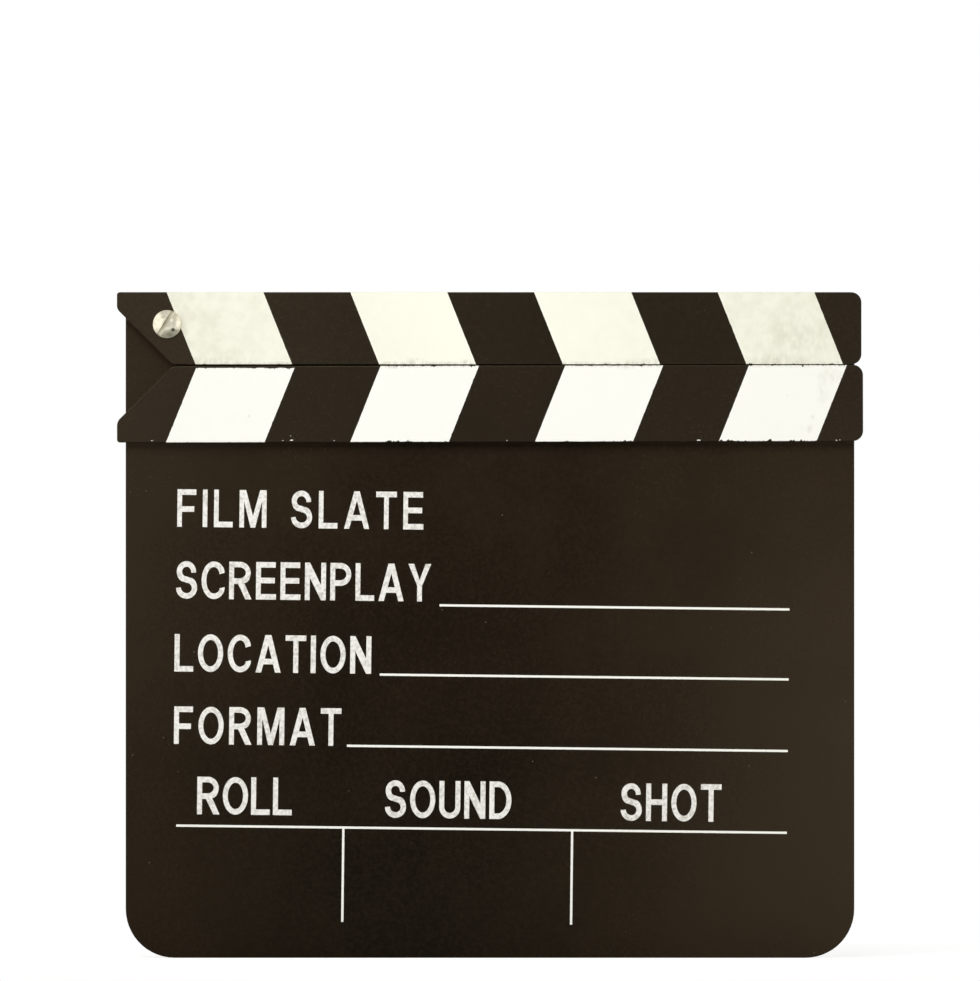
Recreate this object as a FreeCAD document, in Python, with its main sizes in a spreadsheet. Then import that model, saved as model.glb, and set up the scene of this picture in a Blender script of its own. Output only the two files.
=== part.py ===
import FreeCAD, Part
import Sketcher
import os

# A hand-held clapperboard of painted fibreboard. A slate with an ear at one corner carries a fixed lower
# stick and, on a binding post through the ear, an upper stick that swings up and claps down on it.
# +X runs to the right seen from the front, +Y to the back and +Z up. The origin is the middle of the
# slate's bottom edge, halfway through its thickness. Lengths are in millimetres, angles in degrees.

SIZES = {
    # slate
    "slate_width": "197.75",
    "slate_face_height": "140.05",  # face left free below the lower stick
    "slate_thickness": "3",
    "slate_corner_radius": "13.3",
    "edge_round": "0.2",  # sanded edges of the slate and of the sticks' fronts
    # ear of the slate that stands up behind the hinge
    "ear_width": "27",
    "ear_top_inset": "1.6",  # from the top of the closed upper stick down to the ear
    "ear_corner_radius": "4",
    "ear_root_radius": "3",
    # sticks
    "stick_overhang": "2.325",  # past each side of the slate
    "upper_stick_shortfall": "0.45",  # by which the upper stick ends before the lower one
    "lower_stick_height": "20.7",
    "upper_stick_height": "19.6",
    "stick_thickness": "5",
    "clap_gap": "0.3",  # between the middles of the closed sticks
    "slate_lap": "2",  # of the slate behind the upper stick, so that it backs the joint of the closed sticks
    "lower_stick_tilt": "0.12",  # by which the lower stick is fixed askew, tip up
    "heel_cut": "15",  # corner cut off both sticks at 45 degrees, so that the upper one can swing
    "heel_radius": "0.8",
    "stick_corner_radius": "2.8",
    # white ink on the sticks
    "stripe_count": "4",
    "stripe_gap": "23.3",
    "stripe_heel_margin": "13.45",
    "stripe_tip_margin": "12.45",
    "stripe_lean": "21.8",
    "ink_thickness": "0.08",
    # white rules printed on the slate, a little askew
    "print_tilt": "0.68",
    "print_left_inset": "14",
    "print_right_inset": "18.6",
    "table_rule_height": "35.9",
    "divider_drop": "25.3",
    "rule_width": "0.62",
    "lower_line_rise": "22.2",
    "middle_line_rise": "41.63",
    "upper_line_rise": "60.63",
    # places along the printed rules, as shares of their span
    "lower_line_start_share": "0.279",
    "middle_line_start_share": "0.3316",
    "upper_line_start_share": "0.4285",
    "first_divider_share": "0.273",
    "second_divider_share": "0.649",
    # binding post and screw of the hinge
    "pivot_inset": "11.25",  # from the slate's side
    "pivot_height": "10.9",  # above the upper stick's lower edge
    "running_gap": "0.15",  # on each face of the upper stick
    "post_diameter": "5",
    "post_turning_fit": "0.08",  # all round, where the upper stick turns
    "post_seat_fit": "0.03",  # all round, in the ear
    "flange_diameter": "9",
    "flange_rim": "0.5",
    "flange_crown": "0.7",
    "head_diameter": "7.8",
    "head_rim": "0.5",
    "head_crown": "1.6",
    "slot_width": "1.1",
    "slot_depth": "1.2",
    "slot_angle": "58",
    "thread_diameter": "3",
    "thread_length": "5.5",
    "thread_tip": "0.4",
    "thread_fit": "0.03",
    "thread_spare_depth": "0.8",  # of the post's bore past the screw's tip
    # panel pins that hold the lower stick, driven flush from the back
    "pin_count": "4",
    "pin_end_inset": "16",
    "pin_drop": "0.5",  # below the lower stick's middle
    "pin_diameter": "1.2",
    "pin_head_diameter": "2.4",
    "pin_head_height": "0.6",
    "pin_tip_length": "1.4",
    "pin_front_cover": "1.2",  # of the stick, left in front of the pin's tip
    "pin_fit": "0.02",
}

# Places that several pieces share, as formulas on the sheet.
side = "(Sizes.slate_width / 2)"
slate_front = "(Sizes.slate_thickness / 2)"
heel_end = f"({side} + Sizes.stick_overhang)"
clap_height = "(Sizes.slate_face_height + Sizes.lower_stick_height)"
lower_middle = "(Sizes.slate_face_height + Sizes.lower_stick_height / 2)"
upper_foot = f"({clap_height} + Sizes.clap_gap)"
slate_top = f"({upper_foot} + Sizes.slate_lap)"
upper_middle = f"({upper_foot} + Sizes.upper_stick_height / 2)"
ear_top = f"({upper_foot} + Sizes.upper_stick_height - Sizes.ear_top_inset)"
pivot_x = f"(Sizes.pivot_inset - {side})"
pivot_z = f"({upper_foot} + Sizes.pivot_height)"
upper_back = f"({slate_front} + Sizes.running_gap)"
head_seat = f"({upper_back} + Sizes.stick_thickness + Sizes.running_gap)"
pin_row = "(Sizes.slate_width - 2 * Sizes.pin_end_inset)"
first_pin = f"(Sizes.pin_end_inset - {side})"
pin_level = "(-Sizes.pin_drop)"

# What each stick and its stripes are made from, drawn about the stick's middle height. A stick runs from its
# outer edge to its clapping edge.
lower = {
    "back": slate_front,
    "outer": "(-Sizes.lower_stick_height / 2)",
    "clap": "(Sizes.lower_stick_height / 2)",
    "height": "Sizes.lower_stick_height",
    "length": f"(2 * {heel_end})",
}
upper = {
    "back": upper_back,
    "outer": "(Sizes.upper_stick_height / 2)",
    "clap": "(-Sizes.upper_stick_height / 2)",
    "height": "Sizes.upper_stick_height",
    "length": f"(2 * {heel_end} - Sizes.upper_stick_shortfall)",
}

same_place = 1e-6  # tolerance for finding edges

doc = FreeCAD.newDocument("Clapperboard")
sheet = doc.addObject("Spreadsheet::Sheet", "Sizes")
for row, (alias, number) in enumerate(SIZES.items(), start=1):
    sheet.set(f"A{row}", alias)
    sheet.set(f"B{row}", number)
    sheet.setAlias(f"B{row}", alias)
doc.recompute()


def value(formula):
    return float(sheet.evalExpression(formula.replace("Sizes.", "")))


def bind(thing, **formulas):
    for place, formula in formulas.items():
        thing.setExpression(place.replace("__", "."), formula)


def new_body(label):
    body = doc.addObject("PartDesign::Body", label)
    body.Label = label
    return body


def new_sketch(body, name, role, x="0", y="0", z="0", turn="0"):
    """A sketch on one of the body's origin planes, moved by formulas along its own axes, z along the plane's
    normal, and turned about that normal."""
    sketch = body.newObject("Sketcher::SketchObject", name)
    plane = next(p for p in body.Origin.OriginFeatures if p.Role == role)
    sketch.AttachmentSupport = [(plane, "")]
    sketch.MapMode = "FlatFace"
    sketch.AttachmentOffset.Rotation = FreeCAD.Rotation(FreeCAD.Vector(0, 0, 1), value(turn))
    bind(
        sketch,
        AttachmentOffset__Base__x=x,
        AttachmentOffset__Base__y=y,
        AttachmentOffset__Base__z=z,
        AttachmentOffset__Rotation__Angle=turn,
    )
    return sketch


def move_body(body, x="0", z="0"):
    bind(body, Placement__Base__x=x, Placement__Base__z=z)
    doc.recompute()


def turn_body(body, axis, angle):
    """Turns a finished body about an axis through its own origin."""
    body.Placement.Rotation = FreeCAD.Rotation(axis, value(angle))
    bind(body, Placement__Rotation__Angle=angle)
    doc.recompute()


def place_on_lower_stick(body):
    """Takes what is drawn about the lower stick's middle to the stick's place, with its tip up."""
    move_body(body, z=lower_middle)
    turn_body(body, FreeCAD.Vector(0, -1, 0), "Sizes.lower_stick_tilt")


def fix_point(sketch, geometry, vertex, x, y):
    """Ties a vertex of the sketch to two formulas."""
    for kind, formula in (("DistanceX", x), ("DistanceY", y)):
        dimension = Sketcher.Constraint(kind, -1, 1, geometry, vertex, value(formula))
        index = sketch.addConstraint(dimension)
        sketch.setExpression(f"Constraints[{index}]", formula)


def arc_about(centre, start, end):
    """The anticlockwise arc from start to end."""
    circle = Part.Circle(centre, FreeCAD.Vector(0, 0, 1), centre.distanceToPoint(start))
    return Part.ArcOfCircle(circle, circle.parameter(start), circle.parameter(end))


def draw_outline(sketch, points, crowned=()):
    """A closed outline through points given as pairs of formulas. The sides named in crowned are arcs about
    the sketch's vertical axis, for the domes of turned pieces, and run anticlockwise."""
    places = [FreeCAD.Vector(value(x), value(y), 0) for x, y in points]
    count = len(points)
    for i, start in enumerate(places):
        end = places[(i + 1) % count]
        if i in crowned:
            centre_y = (start.y**2 + start.x**2 - end.y**2 - end.x**2) / (2 * (start.y - end.y))
            sketch.addGeometry(arc_about(FreeCAD.Vector(0, centre_y, 0), start, end))
            sketch.addConstraint(Sketcher.Constraint("PointOnObject", i, 3, -2))
        else:
            sketch.addGeometry(Part.LineSegment(start, end))
    for i in range(count):
        sketch.addConstraint(Sketcher.Constraint("Coincident", i, 2, (i + 1) % count, 1))
    for i, (x, y) in enumerate(points):
        fix_point(sketch, i, 1, x, y)


def draw_circle(sketch, x, y, radius):
    circle = Part.Circle(FreeCAD.Vector(value(x), value(y), 0), FreeCAD.Vector(0, 0, 1), value(radius))
    geometry = sketch.addGeometry(circle)
    fix_point(sketch, geometry, 3, x, y)
    index = sketch.addConstraint(Sketcher.Constraint("Radius", geometry, value(radius)))
    sketch.setExpression(f"Constraints[{index}]", radius)


def add_pad(body, sketch, length, symmetric=False):
    pad = body.newObject("PartDesign::Pad", f"{sketch.Name}_pad")
    pad.Profile = sketch
    pad.SideType = "Symmetric" if symmetric else "One side"
    bind(pad, Length=length)
    doc.recompute()
    return pad


def add_revolution(body, sketch):
    revolution = body.newObject("PartDesign::Revolution", f"{sketch.Name}_turned")
    revolution.Profile = sketch
    revolution.ReferenceAxis = (sketch, ["V_Axis"])
    doc.recompute()
    return revolution


def add_pocket(body, sketch, depth=None, forward=False):
    """A cut to a depth, towards the sketch plane's normal if forward, or right through both ways."""
    before = body.Shape.Volume
    pocket = body.newObject("PartDesign::Pocket", f"{sketch.Name}_cut")
    pocket.Profile = sketch
    if depth is None:
        pocket.Type = "ThroughAll"
        pocket.SideType = "Symmetric"
    else:
        pocket.Reversed = forward
        bind(pocket, Length=depth)
    doc.recompute()
    if not body.Shape.Volume < before:
        raise RuntimeError(f"{pocket.Name} cuts nothing")
    return pocket


def add_row(body, feature, length, count):
    """Repeats a feature in a row along the horizontal axis of its sketch."""
    row_pattern = body.newObject("PartDesign::LinearPattern", f"{feature.Name}_row")
    row_pattern.Originals = [feature]
    row_pattern.Direction = (feature.Profile[0], ["H_Axis"])
    bind(row_pattern, Length=length, Occurrences=count)
    body.Tip = row_pattern
    doc.recompute()
    return row_pattern


def add_fillet(body, name, edges, radius):
    """Rounds the edges of the body's last feature that the test picks."""
    base = body.Tip
    names = [f"Edge{i}" for i, edge in enumerate(base.Shape.Edges, start=1) if edges(edge)]
    fillet = body.newObject("PartDesign::Fillet", f"{body.Name}_{name}")
    fillet.Base = (base, names)
    bind(fillet, Radius=radius)
    doc.recompute()
    return fillet


def corner(x, z):
    """A test for the edge that runs through the board at that corner of its outline."""
    place = FreeCAD.Vector(value(x), 0, value(z))

    def at_corner(edge):
        ends = [FreeCAD.Vector(v.X, 0, v.Z) for v in edge.Vertexes]
        return all(end.isEqual(place, same_place) for end in ends)

    return at_corner


def rim_at(*depths):
    """A test for the edges round the flat faces of a board at those distances in front of the origin."""
    places = [-value(depth) for depth in depths]

    def on_rim(edge):
        flat = edge.BoundBox.YLength < same_place
        return flat and any(abs(edge.BoundBox.YMin - y) < same_place for y in places)

    return on_rim


def make_slate():
    body = new_body("slate_board")
    outline = new_sketch(body, "slate_outline", "XZ_Plane")
    ear_side = f"(Sizes.ear_width - {side})"
    draw_outline(
        outline,
        [
            (f"-{side}", "0"),
            (side, "0"),
            (side, slate_top),
            (ear_side, slate_top),
            (ear_side, ear_top),
            (f"-{side}", ear_top),
        ],
    )
    add_pad(body, outline, "Sizes.slate_thickness", symmetric=True)
    add_fillet(body, "left_corner", corner(f"-{side}", "0"), "Sizes.slate_corner_radius")
    add_fillet(body, "right_corner", corner(side, "0"), "Sizes.slate_corner_radius")
    add_fillet(body, "ear_root", corner(ear_side, slate_top), "Sizes.ear_root_radius")
    add_fillet(body, "ear_inner_corner", corner(ear_side, ear_top), "Sizes.ear_corner_radius")
    add_fillet(body, "ear_outer_corner", corner(f"-{side}", ear_top), "Sizes.ear_corner_radius")
    add_fillet(body, "sanded_edges", rim_at(slate_front, f"-{slate_front}"), "Sizes.edge_round")
    bore = new_sketch(body, "slate_pivot_bore", "XZ_Plane")
    draw_circle(bore, pivot_x, pivot_z, "Sizes.post_diameter / 2 + Sizes.post_seat_fit")
    add_pocket(body, bore)
    on_stick = {"y": lower_middle, "turn": "Sizes.lower_stick_tilt"}
    hole = new_sketch(body, "slate_pin_hole", "XZ_Plane", **on_stick)
    draw_circle(hole, first_pin, pin_level, "Sizes.pin_diameter / 2 + Sizes.pin_fit")
    add_row(body, add_pocket(body, hole), pin_row, "Sizes.pin_count")
    seat = new_sketch(body, "slate_pin_seat", "XZ_Plane", z=f"-{slate_front}", **on_stick)
    draw_circle(seat, first_pin, pin_level, "Sizes.pin_head_diameter / 2 + Sizes.pin_fit")
    cut = add_pocket(body, seat, "Sizes.pin_head_height", forward=True)
    add_row(body, cut, pin_row, "Sizes.pin_count")
    return body


def make_stick(label, back, outer, clap, height, length):
    """A stick with rounded corners, and its heel cut off on the side of the clapping edge."""
    body = new_body(label)
    heel = f"-{heel_end}"
    tip = f"({length} - {heel_end})"
    cut_end = f"({clap} + Sizes.heel_cut * ({outer} - {clap}) / {height})"
    heel_face = f"({height} - Sizes.heel_cut)"
    cut_points = [(f"Sizes.heel_cut - {heel_end}", clap), (heel, cut_end)]
    heel_corner = (heel, outer)
    tip_points = [(tip, outer), (tip, clap)]
    outline = new_sketch(body, f"{label}_outline", "XZ_Plane", z=back)
    draw_outline(outline, [*cut_points, heel_corner, *tip_points])
    add_pad(body, outline, "Sizes.stick_thickness")
    for i, point in enumerate(cut_points):
        add_fillet(body, f"cut_{i}", corner(*point), f"min(Sizes.stick_corner_radius; {heel_face} / 2)")
    add_fillet(body, "heel", corner(*heel_corner), f"min(Sizes.heel_radius; {heel_face} / 3)")
    for i, point in enumerate(tip_points):
        add_fillet(body, f"tip_{i}", corner(*point), "Sizes.stick_corner_radius")
    add_fillet(body, "sanded_edges", rim_at(f"{back} + Sizes.stick_thickness"), "Sizes.edge_round")
    return body


def make_lower_stick():
    body = make_stick("lower_stick", **lower)
    hole = new_sketch(body, "stick_pin_hole", "XZ_Plane", z=slate_front)
    draw_circle(hole, first_pin, pin_level, "Sizes.pin_diameter / 2 + Sizes.pin_fit")
    cut = add_pocket(body, hole, "Sizes.stick_thickness - Sizes.pin_front_cover", forward=True)
    add_row(body, cut, pin_row, "Sizes.pin_count")
    place_on_lower_stick(body)
    return body


def make_upper_stick():
    body = make_stick("upper_stick", **upper)
    bore = new_sketch(body, "stick_pivot_bore", "XZ_Plane")
    bore_height = "Sizes.pivot_height - Sizes.upper_stick_height / 2"
    draw_circle(bore, pivot_x, bore_height, "Sizes.post_diameter / 2 + Sizes.post_turning_fit")
    add_pocket(body, bore)
    move_body(body, z=upper_middle)
    return body


def make_stripes(label, back, outer, clap, height, length):
    """The slanting white bars of one stick, which stop at its sanded edges."""
    body = new_body(label)
    margins = "(Sizes.stripe_heel_margin + Sizes.stripe_tip_margin)"
    steps = "(Sizes.stripe_count - 1)"
    width = f"(({length} - {margins} - {steps} * Sizes.stripe_gap) / Sizes.stripe_count)"
    lean = "tan(Sizes.stripe_lean * 1 deg)"
    start = f"(Sizes.stripe_heel_margin - {heel_end})"
    inward = f"({clap} - {outer}) / {height}"
    outer_x = f"({start} + Sizes.edge_round * {lean})"
    outer_z = f"({outer} + Sizes.edge_round * {inward})"
    clap_x = f"({start} + ({height} - Sizes.edge_round) * {lean})"
    clap_z = f"({clap} - Sizes.edge_round * {inward})"
    bar = new_sketch(body, f"{label}_bar", "XZ_Plane", z=f"{back} + Sizes.stick_thickness")
    far_side = [(f"{clap_x} + {width}", clap_z), (clap_x, clap_z)]
    draw_outline(bar, [(outer_x, outer_z), (f"{outer_x} + {width}", outer_z)] + far_side)
    pad = add_pad(body, bar, "Sizes.ink_thickness")
    add_row(body, pad, f"{steps} * ({width} + Sizes.stripe_gap)", "Sizes.stripe_count")
    return body


def make_lower_stripes():
    body = make_stripes("lower_stripes", **lower)
    place_on_lower_stick(body)
    return body


def make_upper_stripes():
    body = make_stripes("upper_stripes", **upper)
    move_body(body, z=upper_middle)
    return body


def draw_rule(sketch, start, end):
    """A printed rule with square ends, half its width past the two points that it joins. These are pairs of
    formulas, the left or the lower one first."""
    half = "Sizes.rule_width / 2"
    left, foot = (f"{place} - {half}" for place in start)
    right, top = (f"{place} + {half}" for place in end)
    draw_outline(sketch, [(left, foot), (right, foot), (right, top), (left, top)])


def make_rules():
    """The writing lines and the table printed on the slate, drawn level from the table's left end and then
    tilted together."""
    body = new_body("ruled_lines")
    span = "(Sizes.slate_width - Sizes.print_left_inset - Sizes.print_right_inset)"
    rules = {"table_rule": (("0", "0"), (span, "0"))}
    for line in ("lower", "middle", "upper"):
        rise = f"Sizes.{line}_line_rise"
        rules[f"{line}_line"] = ((f"Sizes.{line}_line_start_share * {span}", rise), (span, rise))
    for divider in ("first", "second"):
        place = f"Sizes.{divider}_divider_share * {span}"
        rules[f"{divider}_divider"] = ((place, "-Sizes.divider_drop"), (place, "0"))
    for name, (start, end) in rules.items():
        sketch = new_sketch(body, name, "XZ_Plane", z=slate_front)
        draw_rule(sketch, start, end)
        add_pad(body, sketch, "Sizes.ink_thickness")
    move_body(body, f"Sizes.print_left_inset - {side}", "Sizes.table_rule_height")
    turn_body(body, FreeCAD.Vector(0, 1, 0), "Sizes.print_tilt")
    return body


def make_post():
    """The turned binding post: a crowned flange on the back of the ear, and a barrel on which the upper
    stick turns, bored for the screw."""
    body = new_body("pivot_post")
    barrel = "(Sizes.post_diameter / 2)"
    bore = "(Sizes.thread_diameter / 2 + Sizes.thread_fit)"
    flange = "(Sizes.flange_diameter / 2)"
    flange_back = f"({slate_front} + Sizes.flange_rim)"
    bore_end = f"(Sizes.thread_length + Sizes.thread_spare_depth - {head_seat})"
    profile = new_sketch(body, "post_profile", "XY_Plane")
    draw_outline(
        profile,
        [
            (flange, flange_back),
            ("0", f"{flange_back} + Sizes.flange_crown"),
            ("0", bore_end),
            (bore, bore_end),
            (bore, f"-{head_seat}"),
            (barrel, f"-{head_seat}"),
            (barrel, slate_front),
            (flange, slate_front),
        ],
        crowned=(0,),
    )
    add_revolution(body, profile)
    move_body(body, pivot_x, pivot_z)
    return body


def make_screw():
    """The slotted, dome-headed screw that closes the binding post at the front."""
    body = new_body("pivot_screw")
    head = "(Sizes.head_diameter / 2)"
    thread = "(Sizes.thread_diameter / 2)"
    rim = f"({head_seat} + Sizes.head_rim)"
    crown = f"({rim} + Sizes.head_crown)"
    tip = f"(Sizes.thread_length - {head_seat})"
    profile = new_sketch(body, "screw_profile", "XY_Plane")
    draw_outline(
        profile,
        [
            ("0", f"-{crown}"),
            (head, f"-{rim}"),
            (head, f"-{head_seat}"),
            (thread, f"-{head_seat}"),
            (thread, f"{tip} - Sizes.thread_tip"),
            (f"{thread} - Sizes.thread_tip", tip),
            ("0", tip),
        ],
        crowned=(0,),
    )
    add_revolution(body, profile)
    slot = new_sketch(body, "screw_slot", "XZ_Plane", z=crown, turn="Sizes.slot_angle")
    half = "(Sizes.slot_width / 2)"
    reach = "Sizes.head_diameter"
    draw_outline(slot, [(f"-{reach}", f"-{half}"), (reach, f"-{half}"), (reach, half), (f"-{reach}", half)])
    add_pocket(body, slot, "Sizes.slot_depth")
    move_body(body, pivot_x, pivot_z)
    return body


def make_pins():
    """Panel pins with flat heads, flush with the back of the slate."""
    body = new_body("panel_pins")
    head = "(Sizes.pin_head_diameter / 2)"
    shank = "(Sizes.pin_diameter / 2)"
    head_front = f"({slate_front} - Sizes.pin_head_height)"
    point = f"({slate_front} + Sizes.stick_thickness - Sizes.pin_front_cover - Sizes.pin_fit)"
    profile = new_sketch(body, "pin_profile", "XY_Plane", x=first_pin, z=pin_level)
    draw_outline(
        profile,
        [
            ("0", slate_front),
            (head, slate_front),
            (head, head_front),
            (shank, head_front),
            (shank, f"Sizes.pin_tip_length - {point}"),
            ("0", f"-{point}"),
        ],
    )
    add_row(body, add_revolution(body, profile), pin_row, "Sizes.pin_count")
    place_on_lower_stick(body)
    return body


nodes = [
    make_slate(),
    make_lower_stick(),
    make_upper_stick(),
    make_lower_stripes(),
    make_upper_stripes(),
    make_rules(),
    make_post(),
    make_screw(),
    make_pins(),
]

doc.recompute()
for thing in doc.Objects:
    if {"Invalid", "Error"} & set(thing.State):
        raise RuntimeError(f"{thing.Name} failed: {thing.State}")
for node in nodes:
    if node.Shape.isNull() or not node.Shape.isValid() or not node.Shape.Solids:
        raise RuntimeError(f"{node.Label} has no valid solid")

os.makedirs("parts", exist_ok=True)
for node in nodes:
    node.Shape.exportStep(f"parts/{node.Label}.step")
    box = node.Shape.BoundBox
    extent = f"{box.XLength:.2f} x {box.YLength:.2f} x {box.ZLength:.2f}"
    print(f"{node.Label}: {len(node.Shape.Solids)} solids, {extent}")
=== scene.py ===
import bmesh
import bpy
import math
from mathutils import Matrix, Vector, noise


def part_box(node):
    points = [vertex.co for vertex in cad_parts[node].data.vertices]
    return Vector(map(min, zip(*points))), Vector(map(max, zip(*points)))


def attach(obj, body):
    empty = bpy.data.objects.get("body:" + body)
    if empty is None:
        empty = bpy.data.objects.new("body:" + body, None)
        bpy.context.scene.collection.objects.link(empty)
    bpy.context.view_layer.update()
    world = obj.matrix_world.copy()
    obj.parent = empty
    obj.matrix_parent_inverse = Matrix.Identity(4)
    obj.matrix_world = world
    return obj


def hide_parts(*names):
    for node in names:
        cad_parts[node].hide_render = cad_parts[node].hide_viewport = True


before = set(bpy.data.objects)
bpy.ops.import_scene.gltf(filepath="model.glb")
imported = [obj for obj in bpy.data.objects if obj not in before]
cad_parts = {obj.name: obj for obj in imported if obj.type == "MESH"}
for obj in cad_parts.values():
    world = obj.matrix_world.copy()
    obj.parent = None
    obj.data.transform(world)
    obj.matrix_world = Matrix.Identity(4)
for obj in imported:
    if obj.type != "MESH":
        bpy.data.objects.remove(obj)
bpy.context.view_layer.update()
mm = 0.001  # the frame is in metres, the sizes here are in millimetres
print("frame loaded:", len(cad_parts), "nodes")


# small tools

def linear(hexColour):
    channels = [int(hexColour[i:i + 2], 16) / 255 for i in (1, 3, 5)]
    return [c / 12.92 if c <= 0.04045 else ((c + 0.055) / 1.055) ** 2.4 for c in channels] + [1]


def addNode(tree, kind, sockets=None, **settings):
    node = tree.nodes.new("ShaderNode" + kind)
    for name, value in settings.items():
        setattr(node, name, value)
    for name, value in (sockets or {}).items():
        if isinstance(value, bpy.types.NodeSocket):
            tree.links.new(value, node.inputs[name])
        else:
            node.inputs[name].default_value = value
    return node


factor, under, over, mixed = 0, 6, 7, 2  # sockets of a Mix node that mixes colours
usual, instead = 2, 3  # and of one that mixes numbers


def newMaterial(name):
    material = bpy.data.materials.new(name)
    material.use_nodes = True
    tree = material.node_tree
    return material, tree, tree.nodes["Principled BSDF"], addNode(tree, "TexCoord").outputs["Object"]


def perMetre(sizeMm):
    return 1 / (sizeMm * mm)  # texture scale whose features are about that size


def cloud(tree, place, sizeMm, low=0.3, high=0.7, detail=3.0, stretch=(1, 1, 1)):
    # soft noise of that size, spread from 0 at low to 1 at high
    spot = addNode(tree, "Mapping", {"Vector": place, "Scale": stretch}).outputs[0]
    texture = addNode(tree, "TexNoise", {"Vector": spot, "Scale": perMetre(sizeMm), "Detail": detail})
    spread = {"Value": texture.outputs["Fac"], "From Min": low, "From Max": high}
    return addNode(tree, "MapRange", spread, interpolation_type="SMOOTHSTEP").outputs[0]


def specks(tree, place, spacingMm, sizeMm, share):
    # round dots in a share of the cells of that spacing, no larger than that size
    cells = addNode(tree, "TexVoronoi", {"Vector": place, "Scale": perMetre(spacingMm)})
    chance = addNode(tree, "SeparateColor", {"Color": cells.outputs["Color"]})
    widest = sizeMm / spacingMm
    radius = addNode(tree, "Math", {0: chance.outputs["Green"], 1: widest / 2}, operation="MULTIPLY")
    edge = addNode(tree, "Math", {0: radius.outputs[0], 1: cells.outputs["Distance"]}, operation="SUBTRACT")
    soft = {"Value": edge.outputs[0], "From Min": 0.0, "From Max": widest / 4}  # soft rim of a dot
    dot = addNode(tree, "MapRange", soft).outputs[0]
    chosen = addNode(tree, "Math", {0: chance.outputs["Red"], 1: 1 - share}, operation="GREATER_THAN")
    return addNode(tree, "Math", {0: dot, 1: chosen.outputs[0]}, operation="MULTIPLY").outputs[0]


def around(tree, place, x, z, halfWidth, halfHeight):
    # the place seen from a point of the front, in mm, with 1 at the half width and the half height
    where = {"Vector": place, "Location": (x * mm, 0, z * mm), "Scale": (halfWidth * mm, 1, halfHeight * mm)}
    return addNode(tree, "Mapping", where, vector_type="TEXTURE").outputs[0]


def finishPiece(name, mesh, material, body):
    data = bpy.data.meshes.new(name)
    mesh.to_mesh(data)
    mesh.free()
    data.materials.append(material)
    piece = bpy.data.objects.new(name, data)
    bpy.context.scene.collection.objects.link(piece)
    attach(piece, body)
    return piece


def dressNode(node, material):
    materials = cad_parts[node].data.materials
    materials.clear()
    materials.append(material)


# satin black paint sprayed on fibreboard: warm brown-black, faint cloudy tone, orange peel and a little dust,
# with a painted sheen that lightens it towards the edges
boardPaint = {
    "dark": "#070503",
    "light": "#22180f",
    "dust": "#8d8271",
    "sheenDarkestMm": (-24, 14),  # painted sheen: the colour is darkest there, low in the middle, and lightens towards the edges
    "sheenReachMm": (158, 185),
    "cloudMm": 34,
    "uneven": 0.15,  # how far the clouds shift the tone
    "grainMm": 0.9,
    "grainSpread": (0.35, 0.75),
    "grainShare": 0.4,  # how far the grain lightens the coat
    "peelMm": 1.6,
    "peelSpread": (0.2, 0.8),
    "peelDepthMm": 0.05,
    "peelStrength": 0.12,
    "dustSpacingMm": 4.2,
    "dustMm": 0.55,
    "dustShare": 0.3,
    "edge": "#0b0805",  # painted shade: the sanded edges are darkened, against the light they catch
    "fibre": "#3f3224",  # bare board where they are rubbed
    "rubMm": 5,
    "rubSpread": (0.6, 0.7),
    "edgeTurn": (0.65, 0.3),  # how far a sanded edge faces the front, and more or less by how much
    "roughness": (0.2, 0.26),  # glossiest where the painted sheen is darkest
    "grainRoughness": 0.03,
    "ior": 1.5,
    "edgeRoughness": 0.75,  # sanded edges hardly shine
    "specular": 0.31,  # the film is thin and worn, so it shines less than a lacquer
    "sheen": "#ffe4b9",
}


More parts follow.
